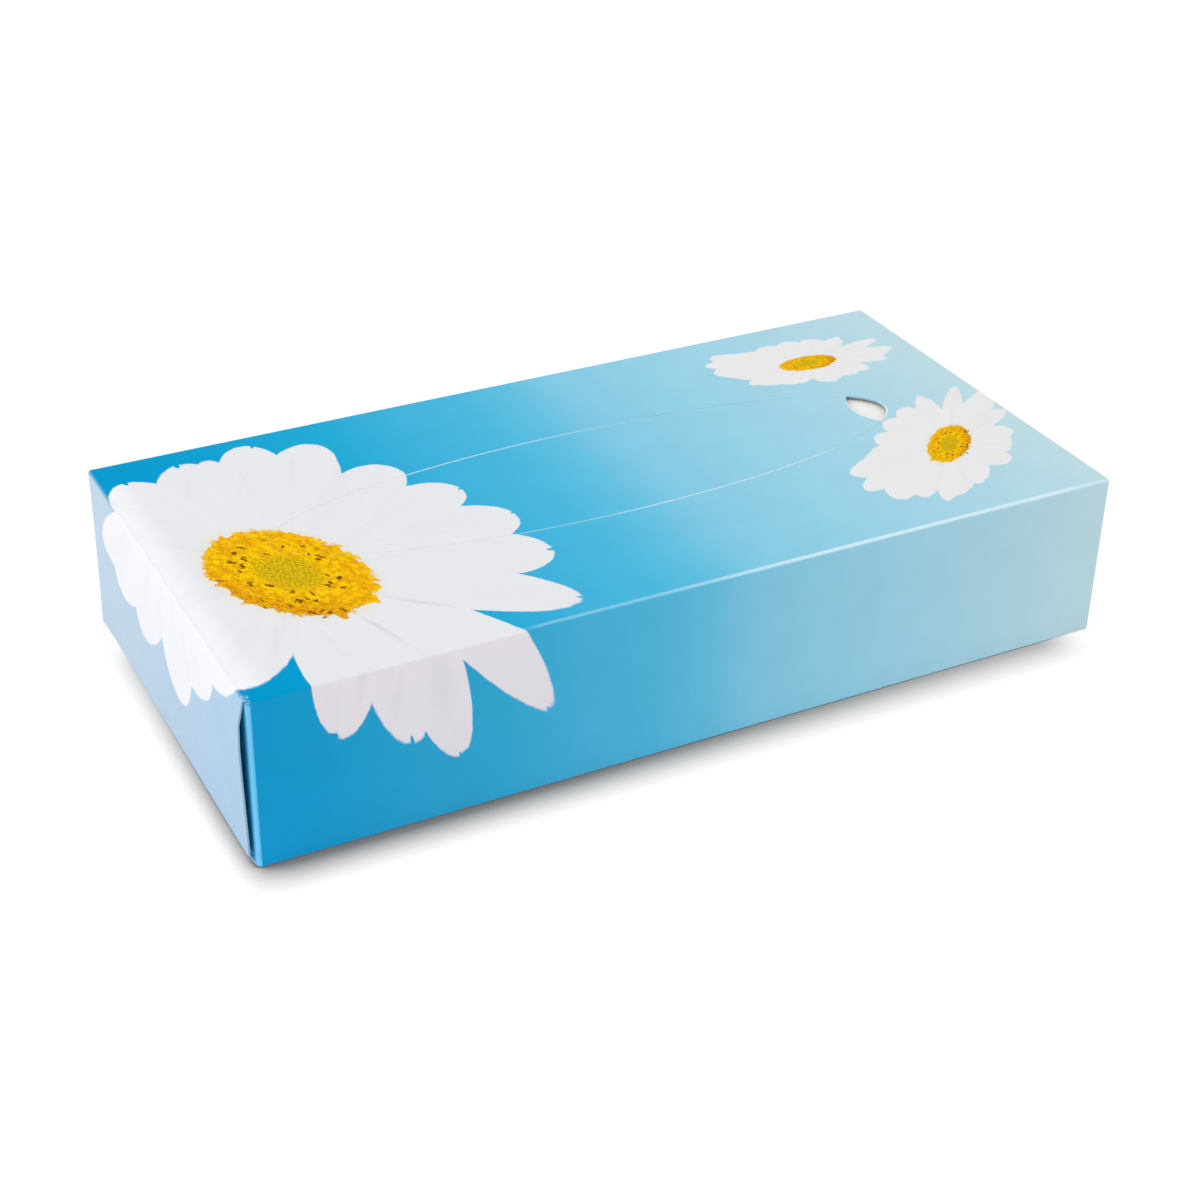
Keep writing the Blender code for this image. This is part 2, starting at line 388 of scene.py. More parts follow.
class Flower:
    """One printed daisy: its petals, its disc as an oval, the florets from the disc's middle
    to its rim, how deep the petals' edges are toothed, the side to which the disc is darker,
    the creases between the petals and the notches in their tips."""

    def __init__(self, petals, disc, florets, teeth, dark_side, creases=(), notches=()):
        self.petals = petals
        self.disc = disc
        self.florets = florets
        self.teeth = teeth
        self.dark_side = dark_side
        self.creases = creases
        self.notches = notches


BIG_FLOWER = Flower(
    BIG_PETALS, (27.5, 47.3, 114, 24.1, 15.9), 9, 0.1, (-0.5, 1), BIG_CREASES, BIG_NOTCHES
)
BACK_FLOWER = Flower(BACK_PETALS, (197.2, 91.8, -2, 8.8, 4.1), 8, 0.35, (1, -0.5))
FRONT_FLOWER = Flower(FRONT_PETALS, (204.7, 34.5, 43, 11.2, 5.3), 8, 0.25, (0.4, -1))


def oval_place(finish, place, middle_u, middle_v, turn, half_length, half_width):
    """A place on the sheet, measured in an oval's own half length and half width."""
    return finish.add(
        "ShaderNodeMapping",
        {"vector_type": "TEXTURE"},
        {
            "Vector": place,
            "Location": (middle_u, middle_v, 0),
            "Rotation": (0, 0, math.radians(turn)),
            "Scale": (half_length, half_width, 1),
        },
    )


def oval_reach(finish, place, *oval):
    """0 in the middle of an oval and 1 on its edge."""
    return finish.length(oval_place(finish, place, *oval))


def least_reach(finish, place, ovals):
    """The reach of the oval that a place lies deepest in."""
    least = None
    for oval in ovals:
        reach = oval_reach(finish, place, *oval)
        least = least.least(reach) if least else reach
    return least


def field_colour(finish, u, v):
    """The blue field, deep at the box's left and pale at its right, paler still on the left end."""
    along = finish.add("ShaderNodeMapRange", {}, (u, FIELD_START, FIELD_END, 0, 1))
    span = FIELD_END - FIELD_START
    stops = [((place - FIELD_START) / span, paint(*colour)) for place, colour in FIELD]
    field = finish.add("ShaderNodeValToRGB", {"stops": stops}, (along,))
    # Painted sheen on the front, stronger away from its left end
    painted_sheen = v.rise(0, -0.6) * (0.03 + u.rise(5, 45) * 0.045)
    field = finish.blend(painted_sheen, field, paint(*FRONT_PAINTED_SHEEN))
    # Painted highlight: the front's left fold is painted lighter, and so are the first millimetres
    # of the dust flap beside it, in the outer flap's shade
    glint = u.rise(-4.0, -0.2) * u.rise(1.1, 0.6) * v.rise(-0.4, -1.4)
    field = finish.blend(glint * 0.9, field, paint(*FOLD_GLINT))
    end_field = finish.blend(v.rise(0, 116), paint(*END_FIELD_FRONT), paint(*END_FIELD_BACK))
    field = finish.blend(u.rise(0.6, -1.4) * v.rise(-0.8, 0.2), field, end_field)
    return finish.blend(v.rise(-44.9, -45.3), field, paint(*BOTTOM_FIELD))


def petal_colour(finish, flower, place, streak, ragged):
    """White, greyer on the front and in the creases, with a painted highlight by the left fold."""
    u = finish.part_of(place, 0)
    v = finish.part_of(place, 1)
    white = finish.blend(u.rise(20, 190), paint(*PETAL_LEFT), paint(*PETAL_RIGHT))
    white = finish.blend(v.rise(0, -0.6), white, paint(*PETAL_FRONT))
    # Painted highlight: petals within 9 mm of the left fold are painted brighter, most on the top
    # and faintly on the left end
    painted_fold_highlight = u.rise(9, 0.8) * (0.3 + u.rise(-0.6, 1.2) * 0.5)
    white = finish.blend(painted_fold_highlight, white, paint(*PETAL_FOLD_HIGHLIGHT))
    shade = streak.rise(0.4, 0.8) * 0.05 + ragged.rise(0.4, 0.8) * 0.02
    for *crease, strength in flower.creases:
        shade = shade + oval_reach(finish, place, *crease).rise(1, 0.1) * strength
    return finish.blend(shade, white, paint(*PETAL_SHADE))


def scattered_cells(finish, place, scale):
    """The distance from the middle of a cell, and a chance value of the cell's own."""
    cells = {"voronoi_dimensions": "2D", "feature": "F1"}
    sockets = {"Vector": place, "Scale": scale, "Randomness": 1}
    reach = finish.add("ShaderNodeTexVoronoi", cells, sockets, output="Distance")
    chance = finish.add("ShaderNodeTexVoronoi", cells, sockets, output="Color")
    return reach, finish.part_of(chance, 0)


def disc_colour(finish, flower, spot, reach, heading):
    """A disc's florets with their flecks and pits, and its greener core. Returns the colour
    and the disc's mask. spot and reach are measured in the disc's own half sizes."""
    florets = flower.florets
    bend = finish.vector("SUBTRACT", finish.grain(spot, florets, output="Color"), (0.5, 0.5, 0.5))
    bent_spot = finish.vector("MULTIPLY_ADD", bend, (0.2, 0.2, 0), spot)
    floret, tint = scattered_cells(finish, bent_spot, florets * 1.15)
    pit, pit_choice = scattered_cells(finish, bent_spot, florets * 0.8)
    clumps = finish.grain(spot, florets * 0.5, 2, 0.6) - 0.5
    flecks = finish.grain(spot, florets * 2.4, 2, 0.7)
    seeds = finish.grain(spot, florets * 3.2, 1, 0.5)
    points = finish.grain(finish.vector("MULTIPLY", heading, (4.5, 4.5, 0)), 1, 1, 0.5)

    dark_long, dark_short = flower.dark_side
    towards_dark = finish.part_of(spot, 0) * dark_long + finish.part_of(spot, 1) * dark_short
    dusk = towards_dark.rise(0.2, 0.95) * reach.rise(*DARK_BAND)
    ring = finish.blend(tint, paint(*FLORET_ORANGE), paint(*FLORET_YELLOW))
    ring = finish.blend(reach.rise(*INNER_FLORETS) * 0.7, ring, paint(*INNER_FLORET))
    ring = finish.blend(dusk * 0.5, ring, paint(*DARK_SIDE))
    ring = finish.blend(floret.rise(0.3, 0.62) * 0.5, ring, paint(*FLORET_EDGE))
    ring = finish.blend(flecks.rise(0.5, 0.64) * (0.4 + dusk * 0.45), ring, paint(*FLECK))
    pit_band = reach.rise(*PITS_START) * reach.rise(*PITS_END).most(dusk)
    pits = pit_choice.rise(0.54, 0.6) * pit.rise(0.36, 0.14) * pit_band
    ring = finish.blend(pits * 0.95, ring, paint(*PIT))

    core = finish.blend(seeds.rise(0.32, 0.68), paint(*CORE_DARK), paint(*CORE_LIGHT))
    in_core = (reach + clumps * 0.2 + (floret - 0.5) * 0.15).rise(*CORE_BAND)
    rim = reach + clumps * 0.16 + (floret - 0.35) * 0.12 - points.rise(0.52, 0.8) * 0.2
    in_disc = rim.rise(*DISC_EDGE).most(reach.rise(*SURE_DISC))
    return finish.blend(in_core, ring, core), in_disc


def flower_colour(finish, flower, place, ground):
    """Lays one daisy over the ground colour."""
    from_disc = finish.vector("SUBTRACT", place, (*flower.disc[:2], 0))
    heading = finish.vector("NORMALIZE", from_disc)
    away = finish.length(from_disc)
    spokes = finish.vector("MULTIPLY_ADD", heading, (9, 9, 0), finish.join(0, 0, away * 0.02))
    streak = finish.grain(spokes, 1, 4, 0.6)
    ragged = finish.grain(place, 0.55, 3, 0.6)
    disc_spot = oval_place(finish, place, *flower.disc)
    disc_reach = finish.length(disc_spot)

    edge = least_reach(finish, place, flower.petals)
    edge = edge + (streak - 0.5) * flower.teeth + (ragged - 0.5) * 0.03
    inside = edge.rise(1.03, 0.99)
    if flower.notches:
        inside = inside * least_reach(finish, place, flower.notches).rise(0.7, 1.1)
    inside = inside.most(disc_reach.rise(*PETALS_MEET))

    white = petal_colour(finish, flower, place, streak, ragged)
    white = finish.blend(disc_reach.rise(*HALO_BAND) * 0.2, white, paint(*DISC_HALO))
    disc, in_disc = disc_colour(finish, flower, disc_spot, disc_reach, heading)
    return finish.blend(inside, ground, finish.blend(in_disc, white, disc))


def crease_line(u, v, worn):
    """Cracked ink along the folds, and a painted highlight on the fold atop the front, as a mask.
    """
    # Along the fold between the front and the top: cracked ink and a painted highlight, stronger to
    # the right
    towards_right = u.rise(90, 150)
    line = (v - 0.75).size() - towards_right * 0.12
    line = line.rise(0.85, 0.25) * u.rise(62, 74) * (0.6 + worn * 0.6)
    line = line * (0.62 + towards_right * 1.1) * (1 - u.rise(212, 230) * 0.5)
    # The folds at the back, the foot and the right end: distance, half width and strength
    for off_fold, half_width, strength in (
        (v - WIDTH / MM, 0.4, 0.5), (v + HEIGHT / MM, 0.4, 0.4), (u - LENGTH / MM, 0.5, 0.6)
    ):
        crack = off_fold.size().rise(half_width, 0.1) * worn.rise(0.25, 0.6) * strength
        line = line.most(crack)
    return line


def worn_corner(finish, place, worn):
    """The fluffed top corner at the front and left."""
    near = oval_reach(finish, place, 0, 1.0, 80, 2.4, 1.2).rise(1.1, 0.7)
    return near * worn.rise(0.48, 0.6)


# How far the pale lip lies in front of the punched line
LIP_SHIFT = 0.28


def perforation_lip(u, v):
    """The distance in millimetres from the pale lip along the tear-off oval."""
    half_long = OVAL_LENGTH / 2 / MM
    half_short = OVAL_WIDTH / 2 / MM
    x = (u - HALF_LENGTH / MM) * (1 / half_long)
    y = (v - (HALF_WIDTH + OVAL_SET_BACK) / MM + LIP_SHIFT) * (1 / half_short)
    reach = (x * x + y * y).root()
    steep_x = x * (1 / half_long)
    steep_y = y * (1 / half_short)
    return reach * (reach - 1) / (steep_x * steep_x + steep_y * steep_y).root()


def perforation_ink_and_shadow(u, v, worn, lip):
    """The pale lip beside the punched line, cracked ink with a painted highlight, and the dark
    line in it, a painted shadow of the slits, as two masks. Both fade before the thumb hole,
    and each side of the oval has strengths of its own."""
    fading = u.rise(186, 168)
    behind = v.rise(55, 67)
    at_front = 0.4 + u.rise(100, 128) * 0.45
    at_back = 0.65 - u.rise(100, 150) * 0.5
    strength = (1 - behind) * at_front + behind * at_back
    # Pale lip: cracked ink and a painted highlight
    lip_ink_and_highlight = lip.size().rise(0.38, 0.1) * worn.rise(0.2, 0.55) * fading * strength
    # Dark line: painted shadow in the slits, which are too narrow to show one
    painted_slit_shadow = (lip - LIP_SHIFT).size().rise(0.16, 0.04) * u.rise(112, 130) * fading
    return lip_ink_and_highlight, painted_slit_shadow * worn.rise(0.35, 0.55) * 0.5


def thumb_rim(finish, place, lip, v):
    """The torn white rim round the thumb hole's inner arc, as a mask."""
    middle_v = (HALF_WIDTH + OVAL_SET_BACK) / MM
    middle_u = (HALF_LENGTH + PUNCH_MIDDLE) / MM
    radius = THUMB_BULGE_RADIUS / MM
    slant = v.rise(middle_v - radius, middle_v + radius) * (-THUMB_SLANT[0] / MM)
    out = oval_reach(finish, place, middle_u, middle_v, 0, radius, radius) * radius - radius
    return (out - slant).rise(0.5, 0.25) * lip.rise(0, -0.25)


def printed_board(name, flower=None):
    """Printed and varnished board, with one of the flowers or none."""
    finish = Finish(bpy.data.materials.new(name))
    sheet = finish.add("ShaderNodeUVMap", {"uv_map": "blank"}, {})
    u = finish.part_of(sheet, 0)
    v = finish.part_of(sheet, 1)
    place = finish.join(u, v)
    mottle = finish.grain(place, 0.09, 3, 0.55)
    fibre = finish.grain(place, 3.5, 4, 0.65)
    worn = finish.grain(place, 1.3, 3, 0.7)

    lip = perforation_lip(u, v)
    lip_ink_and_highlight, painted_slit_shadow = perforation_ink_and_shadow(u, v, worn, lip)
    rim = thumb_rim(finish, place, lip, v) * 0.9
    cracks_and_highlight = crease_line(u, v, worn) * 0.42
    fluff = worn_corner(finish, place, worn) * 0.85
    colour = field_colour(finish, u, v)
    # Random mottle, and a painted glow of floor light: the front is painted up to 5% lighter
    # towards its foot
    colour = finish.tone(colour, 0.95 + mottle * 0.1 + v.rise(-10, -44) * 0.05)
    colour = finish.blend(lip_ink_and_highlight, colour, paint(*LIP_INK_AND_HIGHLIGHT))
    colour = finish.blend(painted_slit_shadow, colour, paint(*SLIT_PAINTED_SHADOW))
    if flower:
        colour = flower_colour(finish, flower, place, colour)
    colour = finish.blend(rim, colour, paint(*TORN_RIM))
    colour = finish.blend(cracks_and_highlight, colour, paint(*CRACKED_INK_AND_HIGHLIGHT))
    colour = finish.blend(fluff, colour, paint(*FLUFFED_BOARD))
    colour = finish.tone(colour, 0.98 + fibre * 0.04)

    height = fibre * 0.5 + mottle * 2
    return finish.close(
        Base_Color=colour,
        Roughness=0.34 + (mottle - 0.5) * 0.12 + (fibre - 0.5) * 0.1,
        Specular_IOR_Level=0.004,
        Normal=finish.bump(height, 0.15, 0.0001),
    )


# Colours of the unprinted board, and of the tissues
PULP = (238, 237, 232)
PULP_SHADE = (214, 212, 206)
INKED_PULP = (150, 186, 208)
BOARD_INSIDE = (206, 204, 198)
BOARD_INSIDE_SHADE = (172, 170, 165)
TISSUE = (255, 253, 249)
TISSUE_SHADE = (246, 243, 238)


def plain_board(name, colour, shade, stained=None):
    """Unprinted board: its grey inner side, or its pulp where it is cut. Away from the thumb
    hole the cut pulp may be stained by the ink."""
    finish = Finish(bpy.data.materials.new(name))
    sheet = finish.add("ShaderNodeUVMap", {"uv_map": "blank"}, {})
    fibre = finish.grain(sheet, 2.2, 4, 0.7)
    cloud = finish.grain(sheet, 0.15, 2, 0.5)
    mixed = finish.blend(fibre * 0.5 + cloud * 0.3, paint(*colour), paint(*shade))
    if stained:
        mixed = finish.blend(finish.part_of(sheet, 0).rise(188, 180), mixed, paint(*stained))
    return finish.close(
        Base_Color=mixed,
        Roughness=0.9 + (fibre - 0.5) * 0.1,
        Specular_IOR_Level=0.1,
        Normal=finish.bump(fibre, 0.3, 0.0001),
    )


def tissue_paper(name):
    """White, soft and dull, with a fine crepe across the leaves."""
    finish = Finish(bpy.data.materials.new(name))
    spot = finish.add("ShaderNodeTexCoord", {}, {}, output="Object")
    cloud = finish.grain(spot, 240, 3, 0.6)
    fibre = finish.grain(spot, 2600, 3, 0.7)
    crepe = finish.grain(finish.vector("MULTIPLY", spot, (2200, 350, 2200)), 1)
    colour = finish.blend(cloud * 0.5 + fibre * 0.3, paint(*TISSUE), paint(*TISSUE_SHADE))
    return finish.close(
        Base_Color=colour,
        Roughness=0.94 + (fibre - 0.5) * 0.08,
        Specular_IOR_Level=0.1,
        Normal=finish.bump(crepe + cloud * 2, 0.35, 0.0001),
    )


def seen_or_mirrored(finish):
    """1 for rays that show a thing to the camera, in a gloss or through glass."""
    camera, gloss, glass = (
        finish.add("ShaderNodeLightPath", {}, {}, output=ray)
        for ray in ("Is Camera Ray", "Is Glossy Ray", "Is Transmission Ray")
    )
    return camera.most(gloss).most(glass)


# The floor's two greys. To the camera it is a dimmer grey with a glow of its own
FLOOR_GREYS = ((238, 238, 238), (242, 242, 242))
FLOOR_DIM = (0.12, 0.12, 0.12, 1)
FLOOR_GLOW = 0.92

# The painted shadow at the box's foot: how far it fades out, its strength and colour
FOOT_SHADE_REACH = 0.012
FOOT_SHADE_STRENGTH = 2.2
FOOT_SHADE_LEAST = 0.05
FOOT_SHADE = (84, 82, 81)
# Where it starts at the left and stops at the right and the back, as 0 and 1 of a mask
FOOT_LEFT = (-0.1222, -0.1148)
FOOT_RIGHT = (0.114, 0.097)
FOOT_BACK = (0.05, 0.03)


def foot_shade_strength(finish, spot):
    """The painted shadow is strongest along the front and fades towards the right and the back."""
    x = finish.part_of(spot, 0)
    y = finish.part_of(spot, 1)
    lengthwise = x.rise(*FOOT_LEFT) * x.rise(*FOOT_RIGHT)
    lengthwise = lengthwise * (1 - x.rise(-0.09, 0.11) * 0.34)
    nearer = 0.35 + y.rise(0.035, -0.035) * 0.3 + y.rise(-0.052, -0.06) * 0.35
    depthwise = y.rise(*FOOT_BACK) * nearer
    return (lengthwise * depthwise).most(FOOT_SHADE_LEAST) * FOOT_SHADE_STRENGTH


def studio_floor(name, near_box):
    """Pale matt floor that reads as white and keeps the box's soft shadow. Near the box its glow
    also carries a painted shadow at the box's foot."""
    finish = Finish(bpy.data.materials.new(name))
    spot = finish.add("ShaderNodeTexCoord", {}, {}, output="Object")
    dark, light = FLOOR_GREYS
    colour = finish.blend(finish.grain(spot, 60), paint(*dark), paint(*light))
    matt = finish.add("ShaderNodeBsdfDiffuse", {}, {"Color": colour})
    dim_matt = finish.add("ShaderNodeBsdfDiffuse", {}, {"Color": FLOOR_DIM})
    shade = (1, 1, 1, 1)
    if near_box:
        openness = finish.add(
            "ShaderNodeAmbientOcclusion",
            {"samples": 16},
            {"Distance": FOOT_SHADE_REACH},
            output="AO",
        )
        # Painted shadow: ambient occlusion, shaped by the masks, darkens the glow by the box's foot
        closed = (1 - openness) * foot_shade_strength(finish, spot)
        shade = finish.blend(closed, shade, paint(*FOOT_SHADE))
    glow = finish.add("ShaderNodeEmission", {}, {"Color": shade, "Strength": FLOOR_GLOW})
    glowing = finish.add("ShaderNodeAddShader", {}, (dim_matt, glow))
    either = finish.add("ShaderNodeMixShader", {}, (seen_or_mirrored(finish), matt, glowing))
    finish.add("ShaderNodeOutputMaterial", {}, {"Surface": either})
    return finish.owner


# Folding the sheet

class Stop:
    """A line across the walked board: its place on the sheet, where it is and which way is out."""

    def __init__(self, printed, place, outward):
        self.printed = printed
        self.place = place
        self.outward = outward


class Walk:
    """The board's outer face walked in a plane: straight runs and rounded corners.
    A corner takes up as much of the sheet as its two legs would if it were sharp."""

    def __init__(self, place, heading, printed):
        self.place = Vector(place)
        self.heading = Vector(heading)
        self.printed = printed
        self.stops = []
        self.mark(self.outward())

    def outward(self):
        return Vector((-self.heading.y, self.heading.x))

    def mark(self, outward):
        self.stops.append(Stop(self.printed, self.place.copy(), outward))

    def straight(self, run, steps):
        """Returns the numbers of the first and last stop of the run."""
        first = len(self.stops) - 1
        start, printed = self.place.copy(), self.printed
        for step in range(1, steps + 1):
            self.place = start + self.heading * (run * step / steps)
            self.printed = printed + run * step / steps
            self.mark(self.outward())
        return first, len(self.stops) - 1

    def corner(self):
        """A quarter turn to the right."""
        start, printed = self.place.copy(), self.printed
        centre = start - self.outward() * FOLD_RADIUS
        first = self.outward()
        onward = self.heading.copy()
        for step in range(1, FOLD_STEPS + 1):
            turn = math.pi / 2 * step / FOLD_STEPS
            out = first * math.cos(turn) + onward * math.sin(turn)
            self.place = centre + out * FOLD_RADIUS
            self.printed = printed + 2 * FOLD_RADIUS * step / FOLD_STEPS
            self.mark(out)
        self.heading = Vector((onward.y, -onward.x))


def steps_for(run):
    return max(1, round(run / PANEL_GRID))


def hump(part):
    """0 at both ends of a panel and 1 in its middle."""
    return math.sin(math.pi * min(max(part, 0), 1))


def ease(part):
    """0 up to 0 and 1 from 1 on, with a soft step between."""
    part = min(max(part, 0), 1)
    return part * part * (3 - 2 * part)


class Sheet:
    """The carton's sheet as one mesh: its outer side, its inner side and its cut edges."""

    def __init__(self):
        self.numbers = {}
        self.outer = []
        self.inner = []
        self.printed = []
        self.quads = []

    def point(self, key, place, outward, printed):
        if key not in self.numbers:
            self.numbers[key] = len(self.outer)
            self.outer.append(place)
            self.inner.append(place - outward * BOARD)
            self.printed.append(printed)
        return self.numbers[key]

    def grid(self, rows):
        """Adds the faces between rows of point numbers."""
        for low, high in zip(rows, rows[1:]):
            for a, b, c, d in zip(low, low[1:], high[1:], high):
                self.quads.append((a, b, c, d))


def girth_walk():
    """The walk round the box, from the glue flap inside the back to the lip at the back's foot."""
    upright = HEIGHT - 2 * FOLD_RADIUS
    across_top = WIDTH - 2 * FOLD_RADIUS
    across_bottom = across_top - LAYER
    before_top = GLUE_FLAP_REACH + across_bottom + upright + 5 * FOLD_RADIUS
    start = (HALF_WIDTH - LAYER, FOLD_RADIUS + GLUE_FLAP_REACH)
    walk = Walk(start, (0, -1), -before_top)
    panels = {}
    walk.straight(GLUE_FLAP_REACH, 3)
    walk.corner()
    panels["bottom"] = walk.straight(across_bottom, steps_for(across_bottom))
    walk.corner()
    panels["front"] = walk.straight(upright, steps_for(upright))
    walk.corner()
    panels["top"] = walk.straight(across_top, steps_for(across_top))
    walk.corner()
    panels["back"] = walk.straight(upright, steps_for(upright))
    walk.straight(FOLD_RADIUS - FOOT_CLEARANCE, 1)
    return walk.stops, panels


def stand_off(name, along, across):
    """How far a panel stands off its flat, at a part of its length and of its height or width."""
    if name == "top":
        return TOP_SAG * hump(along) * hump(across)
    if name in ("front", "back"):
        return SIDE_BULGE * hump(along) * hump(across)
    return 0


def add_body(sheet, stops, panels):
    """Adds the glue flap and the four panels, and returns how many columns they have. The
    ends of the top folds reach out a little as webs."""
    columns = steps_for(2 * BODY_END)
    webs = ((panels["front"][1], panels["top"][0]), (panels["top"][1], panels["back"][0]))
    rows = []
    for row, stop in enumerate(stops):
        name, across = "", 0
        for panel, (first, last) in panels.items():
            if first < row < last:
                name, across = panel, (row - first) / (last - first)
        web = sum(hump((row - low) / (high - low)) for low, high in webs if low < row < high)
        numbers = []
        for column in range(columns + 1):
            along = column / columns
            x = BODY_END * (2 * along - 1)
            if row == 0:
                x *= (BODY_END - GLUE_FLAP_TAPER) / BODY_END
            if column in (0, columns):
                x *= (BODY_END + CORNER_WEB * web) / BODY_END
            outward = Vector((0, stop.outward.x, stop.outward.y))
            place = Vector((x, stop.place.x, stop.place.y))
            place += outward * stand_off(name, along, across)
            printed = ((x + HALF_LENGTH) / MM, stop.printed / MM)
            numbers.append(sheet.point((row, column), place, outward, printed))
        rows.append(numbers)
    sheet.grid(rows)
    return columns


# Part of the outer flap's width, at its back edge, that lies lower than the rest, and the
# part of its spring that is left at the foot
FLAP_EDGE_SHARE = 0.08
FLAP_FOOT_SPRING_SHARE = 0.45


class FlapCut:
    """An end flap's shape: the shoulder before its fold, its reach past the fold, how much
    its sides taper and are notched beside the fold, how much shorter its front corner is,
    how far it leans out over the flap beneath, and how far its front edge springs open."""

    def __init__(self, shoulder, reach, taper, notch=0, foot_slope=0, lean=0, spring=0):
        self.shoulder = shoulder
        self.reach = reach
        self.taper = taper
        self.notch = notch
        self.foot_slope = foot_slope
        self.lean = lean
        self.spring = spring

    def stand_off(self, part, across):
        """part runs down the flap from 0 to 1, across from -1 at its back to 1 at its front."""
        if not self.lean:
            return 0
        over = ease((across + 1) / FLAP_EDGE_SHARE)
        leaning = over * self.lean * ease(part * self.reach / OUTER_FLAP_LEAN_RUN)
        leaning += (1 - over) * FLAP_FOOT_LEAN * part ** 2
        springing = hump(part ** 0.45) + FLAP_FOOT_SPRING_SHARE * part
        return leaning + self.spring * max(0, across) ** 2 * springing


def add_flap(sheet, stops, span, column, side, cut):
    """An end flap on one panel: a shoulder, a quarter turn inwards and a tapering reach.
    side is -1 at the left end and 1 at the right."""
    first, last = span
    walk = Walk((BODY_END, 0), (1, 0), 0)
    if cut.shoulder > 0:
        walk.straight(cut.shoulder, 1)
    walk.corner()
    bent = len(walk.stops) - 1
    walk.straight(cut.reach, steps_for(cut.reach))
    panel_outward = Vector((0, stops[first].outward.x, stops[first].outward.y))
    ends = [Vector((0, stops[i].place.x, stops[i].place.y)) for i in (first, last)]
    middle = (ends[0] + ends[1]) / 2
    middle_printed = (stops[first].printed + stops[last].printed) / 2
    half = (ends[1] - ends[0]).length / 2
    rows = []
    for step, stop in enumerate(walk.stops):
        out_along = max(0, (step - bent) / (len(walk.stops) - 1 - bent))
        keep = 1 - (cut.notch * min(1, step / bent) + cut.taper * out_along) / half
        outward = panel_outward * stop.outward.y + Vector((side * stop.outward.x, 0, 0))
        numbers = []
        for row in range(first, last + 1):
            hinge = Vector((0, stops[row].place.x, stops[row].place.y))
            place = middle + (hinge - middle) * keep + panel_outward * stop.place.y
            frontness = 1 - 2 * (row - first) / (last - first)
            place.x = side * (stop.place.x + cut.stand_off(out_along, frontness))
            place += panel_outward * (cut.foot_slope * max(0, frontness) ** 4 * out_along)
            across = middle_printed + (stops[row].printed - middle_printed) * keep
            printed = (
                (HALF_LENGTH + side * (BODY_END + stop.printed)) / MM,
                across / MM,
            )
            key = (row, column) if step == 0 else (row, side, step, first)
            numbers.append(sheet.point(key, place, outward, printed))
        rows.append(numbers if side < 0 else numbers[::-1])
    sheet.grid(rows)


def fold_sheet():
    """The whole carton, folded: body, then four flaps at each end."""
    sheet = Sheet()
    stops, panels = girth_walk()
    columns = add_body(sheet, stops, panels)
    down_to_foot = HEIGHT - FOLD_RADIUS - OUTER_FLAP_CLEARANCE
    dust = FlapCut(0, DUST_FLAP_REACH, DUST_FLAP_TAPER)
    inner = FlapCut(LAYER, INNER_FLAP_REACH, INNER_FLAP_TAPER, INNER_FLAP_NOTCH)
    for side, column, spring in ((-1, 0, FLAP_SPRING), (1, columns, 0)):
        outer = FlapCut(
            LAYER, down_to_foot, OUTER_FLAP_TAPER, OUTER_FLAP_NOTCH, OUTER_FLAP_FOOT_SLOPE,
            LAYER, spring,
        )
        add_flap(sheet, stops, panels["front"], column, side, dust)
        add_flap(sheet, stops, panels["back"], column, side, dust)
        add_flap(sheet, stops, panels["bottom"], column, side, inner)
        add_flap(sheet, stops, panels["top"], column, side, outer)
    return sheet


# Slots of the carton's materials
FIELD_SLOT, BIG_SLOT, BACK_SLOT, FRONT_SLOT, INSIDE_SLOT, CORE_SLOT = range(6)

# Parts of the sheet that each flower's material covers: least and greatest u and v
FLOWER_AREAS = (
    (BIG_SLOT, (-44, 94, -34, 116)),
    (BACK_SLOT, (164, 234, 73, 116)),
    (FRONT_SLOT, (164, 234, 2, 73)),
)


def slot_at(u, v):
    """The slot of the printed material that lies at a place on the sheet."""
    for slot, (low_u, high_u, low_v, high_v) in FLOWER_AREAS:
        if low_u < u < high_u and low_v < v < high_v:
            return slot
    return FIELD_SLOT


def mesh_of(sheet):
    """The sheet as a closed mesh, with its outer side, inner side and cut edges told apart."""
    count = len(sheet.outer)
    faces, slots = [], []
    used = {}
    for quad in sheet.quads:
        a, b, c, d = quad
        faces.append(quad)
        middle_u = sum(sheet.printed[i][0] for i in quad) / 4
        middle_v = sum(sheet.printed[i][1] for i in quad) / 4
        slots.append(slot_at(middle_u, middle_v))
        faces.append(tuple(i + count for i in reversed(quad)))
        slots.append(INSIDE_SLOT)
        for edge in ((a, b), (b, c), (c, d), (d, a)):
            used[edge] = used.get(edge, 0) + 1
    for start, end in used:
        if (end, start) not in used:
            faces.append((end, start, start + count, end + count))
            slots.append(CORE_SLOT)
    mesh = bpy.data.meshes.new("folded_carton")
    mesh.from_pydata(sheet.outer + sheet.inner, [], faces)
    printed = mesh.uv_layers.new(name="blank")
    for face, slot in zip(mesh.polygons, slots):
        face.material_index = slot
        for loop in face.loop_indices:
            number = mesh.loops[loop].vertex_index % count
            printed.data[loop].uv = sheet.printed[number]
    mesh.update()
    return mesh


# Objects and Geometry Nodes

def show(name, data):
    """A new object in the scene, made of a mesh, a light or a camera."""
    made = bpy.data.objects.new(name, data)
    bpy.context.scene.collection.objects.link(made)
    return made


def as_modified(obj):
    """The object's mesh as its modifiers make it."""
    graph = bpy.context.evaluated_depsgraph_get()
    return bpy.data.meshes.new_from_object(obj.evaluated_get(graph), depsgraph=graph)


